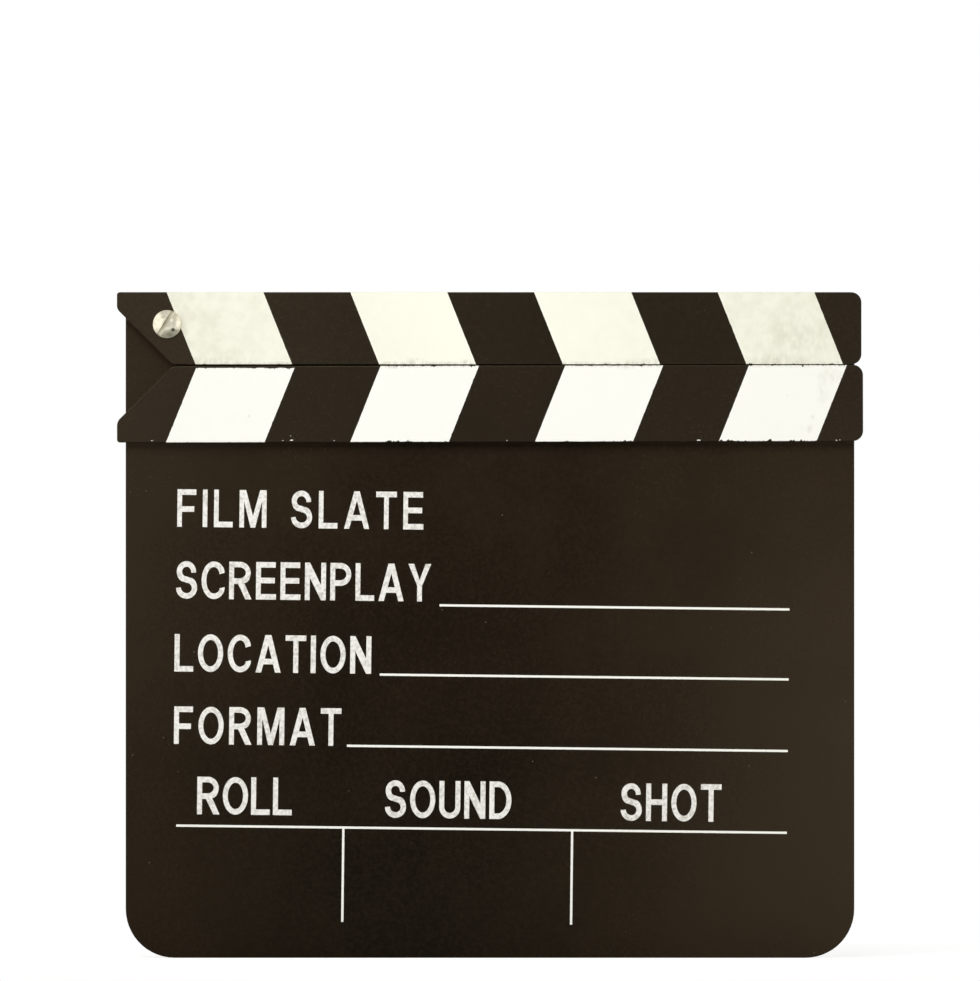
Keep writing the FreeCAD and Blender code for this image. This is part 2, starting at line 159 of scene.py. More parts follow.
def paintedBoard(name, spec):
    material, tree, shader, place = newMaterial(name)
    # painted sheen: the colour lightens with the distance from its darkest point, and the roughness rises
    # with it
    fromSheenDarkest = around(tree, place, *spec["sheenDarkestMm"], *spec["sheenReachMm"])
    paintedSheenAndGloss = addNode(tree, "VectorMath", {0: fromSheenDarkest}, operation="LENGTH").outputs["Value"]
    clouds = cloud(tree, place, spec["cloudMm"])
    shift = {"Value": clouds, "To Min": -spec["uneven"], "To Max": spec["uneven"]}
    uneven = addNode(tree, "MapRange", shift).outputs[0]
    tone = addNode(tree, "Math", {0: paintedSheenAndGloss, 1: uneven}, operation="ADD", use_clamp=True).outputs[0]
    coat = addNode(tree, "Mix", {factor: tone, under: linear(spec["dark"]), over: linear(spec["light"])},
                   data_type="RGBA").outputs[mixed]
    grain = cloud(tree, place, spec["grainMm"], *spec["grainSpread"])
    faint = addNode(tree, "Math", {0: grain, 1: spec["grainShare"]}, operation="MULTIPLY").outputs[0]
    coat = addNode(tree, "Mix", {factor: faint, under: coat, over: linear(spec["light"])},
                   data_type="RGBA").outputs[mixed]
    dust = specks(tree, place, spec["dustSpacingMm"], spec["dustMm"], spec["dustShare"])
    coat = addNode(tree, "Mix", {factor: dust, under: coat, over: linear(spec["dust"])},
                   data_type="RGBA").outputs[mixed]
    # sanded edges, where the rounding turns away from the face, get painted shade and are rubbed bare in
    # patches
    facing = addNode(tree, "SeparateXYZ", {0: addNode(tree, "TexCoord").outputs["Normal"]}).outputs["Y"]
    slope = addNode(tree, "Math", {0: facing}, operation="ABSOLUTE").outputs[0]
    turn, spread = spec["edgeTurn"]
    turned = addNode(tree, "Math", {0: slope, 1: turn, 2: spread}, operation="COMPARE").outputs[0]
    coat = addNode(tree, "Mix", {factor: turned, under: coat, over: linear(spec["edge"])},
                   data_type="RGBA").outputs[mixed]
    patches = cloud(tree, place, spec["rubMm"], *spec["rubSpread"], detail=6.0)
    rubbed = addNode(tree, "Math", {0: turned, 1: patches}, operation="MULTIPLY").outputs[0]
    coat = addNode(tree, "Mix", {factor: rubbed, under: coat, over: linear(spec["fibre"])},
                   data_type="RGBA").outputs[mixed]
    tree.links.new(coat, shader.inputs["Base Color"])
    low, high = spec["roughness"]
    worn = addNode(tree, "MapRange", {"Value": tone, "To Min": low, "To Max": high}).outputs[0]
    grainy = {0: grain, 1: spec["grainRoughness"], 2: worn}
    gloss = addNode(tree, "Math", grainy, operation="MULTIPLY_ADD").outputs[0]
    sanded = addNode(tree, "MapRange", {"Value": turned, "To Min": gloss, "To Max": spec["edgeRoughness"]})
    tree.links.new(sanded.outputs[0], shader.inputs["Roughness"])
    shader.inputs["IOR"].default_value = spec["ior"]
    shader.inputs["Specular IOR Level"].default_value = spec["specular"]
    shader.inputs["Specular Tint"].default_value = linear(spec["sheen"])
    peel = cloud(tree, place, spec["peelMm"], *spec["peelSpread"], detail=2.0)
    relief = {"Height": peel, "Strength": spec["peelStrength"], "Distance": spec["peelDepthMm"] * mm}
    tree.links.new(addNode(tree, "Bump", relief).outputs[0], shader.inputs["Normal"])
    return material


# matt white screen ink: chalky, cloudy where it is thin, with pinholes that show the black paint
stickInk = {
    "full": "#fbfaf1",
    "thin": "#f1f0e3",
    "paint": "#2a211a",
    "cloudMm": 2.6,
    "cloudSpread": (0.42, 0.78),
    "blots": (0.45, 1.0),  # how much a blot and the ink between blots thins
    "hazeMm": 14,
    "haze": (0.6, 1.0),  # the same in the wider haze
    "wornFromMm": (40, 190),  # out from the middle: where the ink begins to thin, and where it is thinnest
    "pinholeSpacingMm": 11,
    "pinholeMm": 0.4,
    "pinholeShare": 0.12,
    "roughness": 0.62,
    "toothDepthMm": 0.02,  # the chalky tooth of the print
    "toothStrength": 0.15,
    "streakMm": 1.1,
    "streakStretch": (1, 1, 0.5),  # upright streaks, from rubbing along the other stick
    "smudgeAndShadowColour": "#c9c5b2",
    "smudges": (  # middle, half width and half height of rubbed places, and how dark they are
        (92.0, 157.8, 4.6, 2.8, 0.5),
        (87.4, 146.8, 0.7, 1.1, 0.9),
        (86.6, 143.6, 1.2, 1.4, 0.8),
        (84.4, 143.8, 0.7, 1.2, 0.6),
        (90.2, 153.0, 2.0, 4.0, 0.35),
        (-65.4, 147.05, 0.4, 0.4, 1.0),
        (80.6, 152.75, 0.45, 0.45, 1.0),
        (-27.0, 160.4, 9.0, 0.8, 0.7),
        (37.0, 160.3, 3.0, 1.0, 0.5),
        (0.0, 160.9, 220, 0.9, 0.9),
    ),
    "paintedShadows": (),  # the same for soft painted shadows, without streaks
}
cloudyInk = {
    **stickInk,
    "full": "#fbfae9",
    "thin": "#e3e1cd",
    "cloudSpread": (0.3, 0.8),
    "wornFromMm": (10, 80),
    "smudges": (
        (0.0, 160.9, 260, 1.2, 1.0),
        (-20.2, 162.0, 3.4, 1.0, 0.8),
        (-6.5, 161.8, 2.2, 0.8, 0.8),
        (-75.0, 162.2, 14, 1.2, 0.6),
        (45.0, 162.0, 12, 1.0, 0.6),
        (78.0, 162.4, 14, 1.6, 0.6),
        (94.3, 161.6, 0.6, 0.5, 1.0),
        (84.0, 168.0, 16, 12, 0.35),
    ),
    # painted shadow of the screw head, on the ink to its right
    "paintedShadows": ((-83.9, 171.6, 2.4, 4.4, 0.75),),
}
wordInk = {
    **stickInk,
    "full": "#f9f6ef",
    "thin": "#c3bfb4",
    "cloudMm": 0.9,
    "cloudSpread": (0.38, 0.72),
    "blots": (0.1, 1.0),
    "wornFromMm": (0, 1),
    "smudges": (),
}


def screenInk(name, spec):
    material, tree, shader, place = newMaterial(name)
    mottle = cloud(tree, place, spec["cloudMm"], *spec["cloudSpread"], detail=5.0)
    haze = cloud(tree, place, spec["hazeMm"])
    along = addNode(tree, "SeparateXYZ", {0: place}).outputs["X"]
    out = addNode(tree, "Math", {0: along}, operation="ABSOLUTE").outputs[0]
    start, end = spec["wornFromMm"]
    worn = addNode(tree, "MapRange", {"Value": out, "From Min": start * mm, "From Max": end * mm}).outputs[0]
    low, high = spec["haze"]
    patchy = addNode(tree, "MapRange", {"Value": haze, "To Min": low, "To Max": high}).outputs[0]
    low, high = spec["blots"]
    blots = addNode(tree, "MapRange", {"Value": mottle, "To Min": low, "To Max": high}).outputs[0]
    thin = addNode(tree, "Math", {0: worn, 1: patchy}, operation="MULTIPLY").outputs[0]
    thin = addNode(tree, "Math", {0: thin, 1: blots}, operation="MULTIPLY").outputs[0]
    ink = addNode(tree, "Mix", {factor: thin, under: linear(spec["full"]), over: linear(spec["thin"])},
                  data_type="RGBA").outputs[mixed]
    streak = cloud(tree, place, spec["streakMm"], stretch=spec["streakStretch"])
    # smudges are streaky grime; the painted shadows are soft and even
    marks = [(mark, streak) for mark in spec["smudges"]] + [(mark, 1) for mark in spec["paintedShadows"]]
    for (*ellipse, dark), veil in marks:
        inside = {"Vector": around(tree, place, *ellipse)}
        spot = addNode(tree, "TexGradient", inside, gradient_type="SPHERICAL").outputs["Fac"]
        grimeAndShadow = addNode(tree, "Math", {0: spot, 1: veil}, operation="MULTIPLY").outputs[0]
        amount = addNode(tree, "Math", {0: grimeAndShadow, 1: dark}, operation="MULTIPLY", use_clamp=True).outputs[0]
        ink = addNode(tree, "Mix", {factor: amount, under: ink, over: linear(spec["smudgeAndShadowColour"])},
                      data_type="RGBA").outputs[mixed]
    holes = specks(tree, place, spec["pinholeSpacingMm"], spec["pinholeMm"], spec["pinholeShare"])
    ink = addNode(tree, "Mix", {factor: holes, under: ink, over: linear(spec["paint"])},
                  data_type="RGBA").outputs[mixed]
    tree.links.new(ink, shader.inputs["Base Color"])
    shader.inputs["Roughness"].default_value = spec["roughness"]
    tooth = {"Height": mottle, "Strength": spec["toothStrength"], "Distance": spec["toothDepthMm"] * mm}
    tree.links.new(addNode(tree, "Bump", tooth).outputs[0], shader.inputs["Normal"])
    return material


# polished nickel plate: warm, slightly yellow mirror, dulled by fine rubbing, with dark spots where listed
nickel = {
    "bright": "#efead3",
    "dull": "#d8d2b8",
    "cloudMm": 1.6,
    "cloudSpread": (0.35, 0.75),
    "rubMm": 0.25,
    "rubStretch": (1, 1, 0.2),
    "roughness": (0.16, 0.26),
    "darkSpotColour": "#4a4436",
    "spots": (),  # middle, half width, half height and depth
}
screwNickel = {
    **nickel,
    # dark spots low on the right of the screw head
    "spots": ((-85.97, 170.45, 0.8, 0.75, 1.4), (-86.68, 169.1, 1.3, 0.95, 0.42)),
}
slotNickel = {
    "shaded": "#b5ae94",
    "floor": "#d3cdb2",
    "lit": "#f4efdc",
    "middleMm": (-87.92, 172.14),
    "halfWidthMm": 0.55,
    "degrees": 58,
    "shade": (-0.7, -0.1),  # across the slot, with its walls at -1 and 1: where the painted shade ends
    "shine": (0.3, 0.9),  # and where the painted highlight begins
    "roughness": 0.35,
}


def nickelPlate(name, spec):
    material, tree, shader, place = newMaterial(name)
    tone = cloud(tree, place, spec["cloudMm"], *spec["cloudSpread"])
    plate = addNode(tree, "Mix", {factor: tone, under: linear(spec["bright"]), over: linear(spec["dull"])},
                    data_type="RGBA").outputs[mixed]
    for *ellipse, depth in spec["spots"]:
        inside = {"Vector": around(tree, place, *ellipse)}
        spot = addNode(tree, "TexGradient", inside, gradient_type="SPHERICAL").outputs["Fac"]
        amount = addNode(tree, "Math", {0: spot, 1: depth}, operation="MULTIPLY", use_clamp=True).outputs[0]
        plate = addNode(tree, "Mix", {factor: amount, under: plate, over: linear(spec["darkSpotColour"])},
                        data_type="RGBA").outputs[mixed]
    tree.links.new(plate, shader.inputs["Base Color"])
    shader.inputs["Metallic"].default_value = 1
    rub = cloud(tree, place, spec["rubMm"], stretch=spec["rubStretch"])
    low, high = spec["roughness"]
    gloss = addNode(tree, "MapRange", {"Value": rub, "To Min": low, "To Max": high})
    tree.links.new(gloss.outputs[0], shader.inputs["Roughness"])
    return material


# the same plate in the driver slot, with painted shade along one wall and a painted highlight along the other
def slotPlate(name, spec):
    material, tree, shader, place = newMaterial(name)
    half, turn = spec["halfWidthMm"], math.radians(spec["degrees"])
    fromMiddle = around(tree, place, *spec["middleMm"], half, half)
    across = addNode(tree, "VectorMath", {0: fromMiddle, 1: (math.sin(turn), 0, -math.cos(turn))},
                     operation="DOT_PRODUCT").outputs["Value"]
    low, high = spec["shade"]
    shade = addNode(tree, "MapRange", {"Value": across, "From Min": low, "From Max": high}).outputs[0]
    low, high = spec["shine"]
    shine = addNode(tree, "MapRange", {"Value": across, "From Min": low, "From Max": high}).outputs[0]
    plate = addNode(tree, "Mix", {factor: shade, under: linear(spec["shaded"]), over: linear(spec["floor"])},
                    data_type="RGBA").outputs[mixed]
    plate = addNode(tree, "Mix", {factor: shine, under: plate, over: linear(spec["lit"])},
                    data_type="RGBA").outputs[mixed]
    tree.links.new(plate, shader.inputs["Base Color"])
    shader.inputs["Metallic"].default_value = 1
    shader.inputs["Roughness"].default_value = spec["roughness"]
    return material


slatePaint = paintedBoard("satin_black_paint_on_slate", boardPaint)
stickPaint = paintedBoard("satin_black_paint_on_stick", {**boardPaint, "dark": "#1b1711", "light": "#221b14"})
clapperPaint = paintedBoard("satin_black_paint_on_clapper", {
    **boardPaint,
    "dark": "#1d1811",
    "light": "#241d15",
    # painted sheen on the upper stick: darkest in its middle, lighter towards its ends
    "sheenDarkestMm": (30, 171),
    "sheenReachMm": (100, 60),
    "roughness": (0.235, 0.265),
})
lowerInk = screenInk("white_screen_ink", stickInk)
upperInk = screenInk("cloudy_white_screen_ink", cloudyInk)
slateInk = screenInk("thin_white_screen_ink", wordInk)
postMetal = nickelPlate("polished_nickel_plate", nickel)
screwMetal = nickelPlate("spotted_nickel_plate", screwNickel)
slotMetal = slotPlate("shaded_and_lit_nickel_in_slot", slotNickel)
# bright drawn wire: grey steel, dull from handling
pinMetal = nickelPlate("drawn_steel_wire", {
    **nickel,
    "bright": "#b7b5b0",
    "dull": "#8f8c86",
    "roughness": (0.3, 0.42),
})
dressNode("slate_board", slatePaint)
dressNode("lower_stick", stickPaint)
dressNode("upper_stick", clapperPaint)
dressNode("ruled_lines", lowerInk)
dressNode("panel_pins", pinMetal)
print("materials made")


# white bars of the sticks, with the nibbled edges of a screen print
barPrint = {
    "inkMm": 0.08,
    "stepMm": 0.1,  # spacing of the points along an edge
    "weldMm": 0.001,
    "edgeRoundMm": 0.2,  # sanded edge of the sticks, onto which the ink may run
    "edgeStrips": 3,  # strips of ink over that edge
    "toothMm": 0.24,
    "teethShare": 0.9,
    "biteMm": 1.7,
    "biteFrom": 0.1,  # the higher, the rarer the bites
    "biteShare": 2.2,
    "smoothBite": 0.4,  # what is left of a bite between the teeth
    "fleckSegments": 12,
    "fleckToothMm": 0.3,
    "fleckRagged": 0.5,
}
bars = {
    "lower": {
        "node": "lower_stripes",
        "body": "board",
        "material": lowerInk,
        "clapSide": 1,  # the edge that claps is the upper one
        "clapRunMm": (-0.29, 0.2, 0.16, 0.15),  # how far each bar runs onto that edge
        "outerRunMm": (0.3, 0.24, 0.22, 0.22),  # and onto the other
        "sidesMm": ((-0.2, -0.07), (-0.14, -0.04), (0, -0.04), (-0.06, -0.16)),  # shift of its two sides
        "nibbleMm": {"clap": 0.4, "outer": 0.4, "side": 0.08},
        "chips": (  # place along the stick, depth and half width
            (64.6, 0.45, 0.5),
            (65.6, 0.35, 0.45),
            (67.2, 0.2, 0.4),
            (76.0, 0.5, 0.3),
            (81.6, 0.4, 0.35),
            (82.4, 0.25, 0.3),
            (84.4, 0.45, 0.3),
        ),
        "flecks": (  # middle, half width and half height
            (-53.8, 140.5, 0.4, 0.16),
            (-54.1, 141.65, 0.1, 0.1),
            (-91.7, 140.35, 0.25, 0.08),
            (56.6, 140.5, 0.5, 0.13),
            (94.0, 140.5, 0.28, 0.12),
            (94.9, 140.55, 0.12, 0.08),
            (-42.3, 140.4, 0.2, 0.07),
            (-56.2, 140.4, 0.25, 0.06),
            (4.6, 140.4, 0.15, 0.06),
        ),
    },
    "upper": {
        "node": "upper_stripes",
        "body": "clapper",
        "material": upperInk,
        "clapSide": -1,
        "clapRunMm": (0.3, 0.31, 0.23, 0.17),
        "outerRunMm": (0.3, 0.3, 0.3, 0.3),
        "sidesMm": ((0, -0.27), (0, -0.24), (0, -0.15), (-0.03, -0.34)),
        "nibbleMm": {"clap": 0.4, "outer": 0.06, "side": 0.08},
        "chips": (),
        "flecks": (),
    },
}


def nibble(place, depth):
    # how far the print falls short there: fine teeth, and now and then a deeper bite
    teeth = max(0.0, noise.noise(place / (barPrint["toothMm"] * mm)))
    bite = max(0.0, noise.noise(place / (barPrint["biteMm"] * mm)) - barPrint["biteFrom"])
    bitten = barPrint["biteShare"] * bite * (barPrint["smoothBite"] + teeth)
    return depth * (barPrint["teethShare"] * teeth + bitten)


def onEdge(run):
    # offset outwards and backwards of ink that runs that far past the flat, over the rounded edge
    if run <= 0:
        return run, 0.0
    radius = barPrint["edgeRoundMm"]
    turn = min(run / radius, math.pi / 2)
    return radius * math.sin(turn), radius * (1 - math.cos(turn))


def printBars(name, spec):
    mesh = bmesh.new()
    mesh.from_mesh(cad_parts[spec["node"]].data)
    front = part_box(spec["node"])[0].y
    strips = barPrint["edgeStrips"]
    # only the front faces of the solid ink are kept, one for each bar
    bmesh.ops.remove_doubles(mesh, verts=mesh.verts, dist=barPrint["weldMm"] * mm)
    hidden = [face for face in mesh.faces if face.normal.y > -0.9]
    bmesh.ops.delete(mesh, geom=hidden, context="FACES")
    bmesh.ops.dissolve_limit(mesh, angle_limit=math.radians(1), verts=mesh.verts, edges=mesh.edges)
    for index, face in enumerate(sorted(mesh.faces, key=lambda f: f.calc_center_median().x)):
        centre = face.calc_center_median()
        byHeight = sorted(face.verts, key=lambda v: v.co.z)
        for pair in (byHeight[:2], byHeight[2:]):
            for vert, shift in zip(sorted(pair, key=lambda v: v.co.x), spec["sidesMm"][index]):
                vert.co.x += shift * mm
        for edge in list(face.edges):
            first, last = (v.co.copy() for v in edge.verts)
            along = (last - first).normalized()
            outward = along.cross(Vector((0, 1, 0)))
            if outward.dot(first - centre) < 0:
                outward.negate()
            level = abs(along.z) < 0.1
            if not level:
                kind, run = "side", 0.0
            elif outward.z * spec["clapSide"] > 0:
                kind, run = "clap", spec["clapRunMm"][index]
            else:
                kind, run = "outer", spec["outerRunMm"][index]
            cuts = int((last - first).length / (barPrint["stepMm"] * mm))
            split = bmesh.ops.bisect_edges(mesh, edges=[edge], cuts=cuts)["geom_split"]
            ring = [v for v in split if isinstance(v, bmesh.types.BMVert)]
            edges = list(dict.fromkeys(e for v in ring for e in v.link_edges))
            ring = list(dict.fromkeys(v for e in edges for v in e.verts)) if level else ring
            rings = [ring]
            for strip in range(strips if level else 0):
                made = bmesh.ops.extrude_edge_only(mesh, edges=edges)["geom"]
                edges = [e for e in made if isinstance(e, bmesh.types.BMEdge)
                         and all(v in made for v in e.verts)]
                rings.append([v for v in made if isinstance(v, bmesh.types.BMVert)])
            for strip, verts in enumerate(rings):
                for vert in verts:
                    short = nibble(vert.co, spec["nibbleMm"][kind])
                    if kind == "outer":
                        for x, depth, width in spec["chips"]:
                            short += depth * math.exp(-((vert.co.x / mm - x) / width) ** 2)
                    reach = run - short
                    out, back = onEdge(min(0.0, reach) if strip == 0 else min(reach, reach * strip / strips))
                    vert.co += (outward * out + Vector((0, back, 0))) * mm
    bmesh.ops.remove_doubles(mesh, verts=mesh.verts, dist=2 * barPrint["weldMm"] * mm)
    bmesh.ops.triangulate(mesh, faces=mesh.faces)
    bmesh.ops.recalc_face_normals(mesh, faces=mesh.faces)
    if sum(face.normal.y for face in mesh.faces) > 0:
        bmesh.ops.reverse_faces(mesh, faces=mesh.faces)
    for x, z, halfWidth, halfHeight in spec["flecks"]:
        middle = Vector((x * mm, front, z * mm))
        corners = barPrint["fleckSegments"]
        spot = bmesh.ops.create_circle(mesh, cap_ends=True, segments=corners, radius=1)["verts"]
        bmesh.ops.rotate(mesh, matrix=Matrix.Rotation(math.pi / 2, 3, "X"), verts=spot)
        bmesh.ops.scale(mesh, vec=(halfWidth * mm, 1, halfHeight * mm), verts=spot)
        bmesh.ops.translate(mesh, vec=middle, verts=spot)
        for vert in spot:
            tooth = noise.noise(vert.co / (barPrint["fleckToothMm"] * mm))
            vert.co = middle.lerp(vert.co, 1 + barPrint["fleckRagged"] * tooth)
    bmesh.ops.solidify(mesh, geom=mesh.faces[:], thickness=barPrint["inkMm"] * mm)
    print(name, len(mesh.faces), "faces")
    piece = finishPiece(name, mesh, spec["material"], spec["body"])
    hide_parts(spec["node"])


for name, spec in bars.items():
    printBars(name + "_stripe_ink", spec)
print("stripes printed")


# field names in condensed block capitals, one print with the rules, a little askew
capitals = {"heightMm": 10.2, "arm": 0.149, "wordSpace": 0.3, "weld": 0.0005}  # shares of the capital height
printFrame = {"leftMm": -84.875, "baseMm": 35.9, "tiltDegrees": 0.68}  # left end of the table's rule
fieldNames = {  # word: left and right end along the print, foot above the table's rule, and share of a stem
    "FILM SLATE": (-1.0, 65.8, 81.1, 0.123),
    "SCREENPLAY": (-1.1, 68.1, 61.6, 0.129),
    "LOCATION": (-1.3, 52.1, 41.8, 0.134),
    "FORMAT": (-1.2, 44.2, 22.15, 0.13),
    "ROLL": (5.3, 31.0, 3.15, 0.132),
    "SOUND": (56.3, 90.6, 2.8, 0.132),
    "SHOT": (120.3, 147.6, 2.75, 0.132),
}
roundness = 0.5523  # handle length that makes a quarter of an ellipse


def letterLoops(s, a):
    # width of each letter and its loops, for stems as wide as s and arms as thick as a: corners, or "h" or
    # "v" for a quarter ellipse that reaches the point after leaving the last one horizontally or vertically
    leg, lean = 1.12 * s, 0.335 - 0.6 * s
    bar, inner = leg + 0.22 * lean, leg + (0.22 + a) * lean
    return {
        "A": (0.67, [[(0, 0), (leg, 0), (bar, 0.22), (0.67 - bar, 0.22), (0.67 - leg, 0), (0.67, 0),
                      (0.67 - lean, 1), (lean, 1)],
                     [(inner, 0.22 + a), (0.335, (0.335 - leg) / lean), (0.67 - inner, 0.22 + a)]]),
        "C": (0.62, [[(0.61, 0.7), (0.325, 1, "v"), (0, 0.5, "h"), (0.325, 0, "v"), (0.62, 0.32, "h"),
                      (0.62 - 1.05 * s, 0.29), (0.325, a, "v"), (s, 0.5, "h"), (0.325, 1 - a, "v"),
                      (0.61 - 1.05 * s, 0.66, "h")]]),
        "D": (0.585, [[(0, 0), (0.23, 0), (0.585, 0.5, "h"), (0.23, 1, "v"), (0, 1)],
                      [(s, a), (s, 1 - a), (0.22, 1 - a), (0.585 - s, 0.5, "h"), (0.22, a, "v")]]),
        "E": (0.535, [[(0, 0), (0.535, 0), (0.535, a), (s, a), (s, 0.435), (0.5, 0.435), (0.5, 0.435 + a),
                       (s, 0.435 + a), (s, 1 - a), (0.52, 1 - a), (0.52, 1), (0, 1)]]),
        "F": (0.5, [[(0, 0), (s, 0), (s, 0.4), (0.45, 0.4), (0.45, 0.4 + a), (s, 0.4 + a), (s, 1 - a),
                     (0.5, 1 - a), (0.5, 1), (0, 1)]]),
        "H": (0.56, [[(0, 0), (s, 0), (s, 0.43), (0.56 - s, 0.43), (0.56 - s, 0), (0.56, 0), (0.56, 1),
                      (0.56 - s, 1), (0.56 - s, 0.43 + a), (s, 0.43 + a), (s, 1), (0, 1)]]),
        "I": (s, [[(0, 0), (s, 0), (s, 1), (0, 1)]]),
        "L": (0.5, [[(0, 0), (0.5, 0), (0.5, a), (s, a), (s, 1), (0, 1)]]),
        "M": (0.72, [[(0, 0), (s, 0), (s, 0.7), (0.36 - s / 2, 0), (0.36 + s / 2, 0), (0.72 - s, 0.7),
                      (0.72 - s, 0), (0.72, 0), (0.72, 1), (0.72 - 1.4 * s, 1), (0.36, 0.31),
                      (1.4 * s, 1), (0, 1)]]),
        "N": (0.56, [[(0, 0), (s, 0), (s, 0.6), (0.56 - s, 0), (0.56, 0), (0.56, 1), (0.56 - s, 1),
                      (0.56 - s, 0.4), (s, 1), (0, 1)]]),
        "O": (0.67, [[(0.335, 0, "v"), (0.67, 0.5, "h"), (0.335, 1, "v"), (0, 0.5, "h")],
                     [(0.335, a, "v"), (0.67 - s, 0.5, "h"), (0.335, 1 - a, "v"), (s, 0.5, "h")]]),
        "P": (0.555, [[(0, 0), (s, 0), (s, 0.39), (0.27, 0.39), (0.555, 0.695, "h"), (0.27, 1, "v"), (0, 1)],
                      [(s, 0.39 + a), (s, 1 - a), (0.26, 1 - a), (0.555 - s, 0.695, "h"),
                       (0.26, 0.39 + a, "v")]]),
        "R": (0.6, [[(0, 0), (s, 0), (s, 0.41), (0.4 - 1.26 * s, 0.41), (0.6 - 1.26 * s, 0), (0.6, 0),
                     (0.4, 0.435), (0.57, 0.71, "h"), (0.28, 1, "v"), (0, 1)],
                    [(s, 0.41 + a), (s, 1 - a), (0.27, 1 - a), (0.57 - s, 0.705, "h"),
                     (0.27, 0.41 + a, "v")]]),
        "S": (0.56, [[(0.53, 0.7), (0.28, 1, "v"), (0.015, 0.73, "h"), (0.2, 0.455, "v"), (0.29, 0.42),
                      (0.56 - 1.09 * s, 0.28, "h"), (0.285, a, "v"), (s, 0.3, "h"), (0, 0.285),
                      (0.28, 0, "v"), (0.56, 0.285, "h"), (0.37, 0.56, "v"), (0.27, 0.595),
                      (0.015 + 1.09 * s, 0.725, "h"), (0.28, 1 - a, "v"), (0.53 - s, 0.69, "h")]]),
        "T": (0.55, [[(0.275 - s / 2, 0), (0.275 + s / 2, 0), (0.275 + s / 2, 1 - a), (0.55, 1 - a),
                      (0.55, 1), (0, 1), (0, 1 - a), (0.275 - s / 2, 1 - a)]]),
        "U": (0.56, [[(0, 1), (0, 0.3), (0.28, 0, "v"), (0.56, 0.3, "h"), (0.56, 1), (0.56 - s, 1),
                      (0.56 - s, 0.31), (0.28, a, "v"), (s, 0.31, "h"), (s, 1)]]),
        "Y": (0.61, [[(0.305 - s / 2, 0), (0.305 + s / 2, 0), (0.305 + s / 2, 0.42), (0.61, 1),
                      (0.61 - 1.19 * s, 1), (0.305, 0.57), (1.19 * s, 1), (0, 1), (0.305 - s / 2, 0.42)]]),
    }


def addLoop(curve, start, loop):
    spline = curve.splines.new("BEZIER")
    spline.use_cyclic_u = True
    spline.bezier_points.add(len(loop) - 1)
    points = spline.bezier_points
    for point, (x, y, *bend) in zip(points, loop):
        point.handle_left_type = point.handle_right_type = "VECTOR"  # straight sides
        point.co = (start + x, y, 0)
    for i, (x, y, *bend) in enumerate(loop):
        if bend:
            last, point = points[i - 1], points[i]
            step = (point.co - last.co) * roundness
            across, up = Vector((step.x, 0, 0)), Vector((0, step.y, 0))
            last.handle_right_type = point.handle_left_type = "FREE"
            last.handle_right = last.co + (across if bend[0] == "h" else up)
            point.handle_left = point.co - (up if bend[0] == "h" else across)


def printWord(word, left, right, foot, stem):
    loops = letterLoops(stem, capitals["arm"])
    widths = [loops[c][0] if c != " " else capitals["wordSpace"] for c in word]
    height = capitals["heightMm"]
    spacing = ((right - left) / height - sum(widths)) / (len(word) - 1)
    curve = bpy.data.curves.new(word, "CURVE")
    curve.dimensions = "2D"
    curve.fill_mode = "BOTH"
    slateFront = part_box("slate_board")[0].y / mm
    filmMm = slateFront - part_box("ruled_lines")[0].y / mm  # as thick as the rules
    curve.extrude = filmMm / 2 / height
    start = 0.0
    for letter, width in zip(word, widths):
        for loop in loops[letter][1] if letter != " " else ():
            addLoop(curve, start, loop)
        start += width + spacing
    drawn = bpy.data.objects.new(word, curve)
    bpy.context.scene.collection.objects.link(drawn)
    bpy.context.view_layer.update()
    flat = bpy.data.meshes.new_from_object(drawn.evaluated_get(bpy.context.evaluated_depsgraph_get()))
    bpy.data.objects.remove(drawn)
    mesh = bmesh.new()
    mesh.from_mesh(flat)
    bpy.data.meshes.remove(flat)
    bmesh.ops.remove_doubles(mesh, verts=mesh.verts, dist=capitals["weld"])
    bmesh.ops.dissolve_degenerate(mesh, edges=mesh.edges, dist=capitals["weld"])
    bmesh.ops.recalc_face_normals(mesh, faces=mesh.faces)
    upright = Matrix.Rotation(math.pi / 2, 4, "X") @ Matrix.Scale(height, 4)
    tilt = Matrix.Rotation(math.radians(printFrame["tiltDegrees"]), 4, "Y")
    origin = Matrix.Translation((printFrame["leftMm"], slateFront - filmMm / 2, printFrame["baseMm"]))
    move = Matrix.Scale(mm, 4) @ origin @ tilt @ Matrix.Translation((left, 0, foot)) @ upright
    bmesh.ops.transform(mesh, matrix=move, verts=mesh.verts)
    name = "word_" + word.lower().replace(" ", "_")
    print(name, len(mesh.faces), "faces")
    finishPiece(name, mesh, slateInk, "board")


for word, place in fieldNames.items():
    printWord(word, *place)
print("words printed")


# turned screw and binding post of the hinge
turning = {"domeSteps": 20, "roundSteps": 96, "weldMm": 0.001, "sharpDegrees": 35, "shadeDegrees": 40}
screw = {
    "node": "pivot_screw",
    "towards": -1,  # the head faces the front
    "rimRadiusMm": 3.9,
    "rimMm": 0.5,
    "crownMm": 1.6,
    "shankRadiusMm": 1.5,
    "shankMm": 5.5,
    "bevelMm": 0.12,
    "slotWidthMm": 2 * slotNickel["halfWidthMm"],
    "slotDepthMm": 1.2,
    "slotDegrees": slotNickel["degrees"],
    "slotOffMm": 0.35,  # the slot is sawn a little off centre
    "metals": (screwMetal, slotMetal),
}
post = {
    "node": "pivot_post",
    "towards": 1,
    "rimRadiusMm": 4.5,
    "rimMm": 0.5,
    "crownMm": 0.7,
    "shankRadiusMm": 2.5,
    "shankMm": 8.3,
    "bevelMm": 0.12,
    "slotWidthMm": 0,
    "metals": (postMetal,),
}


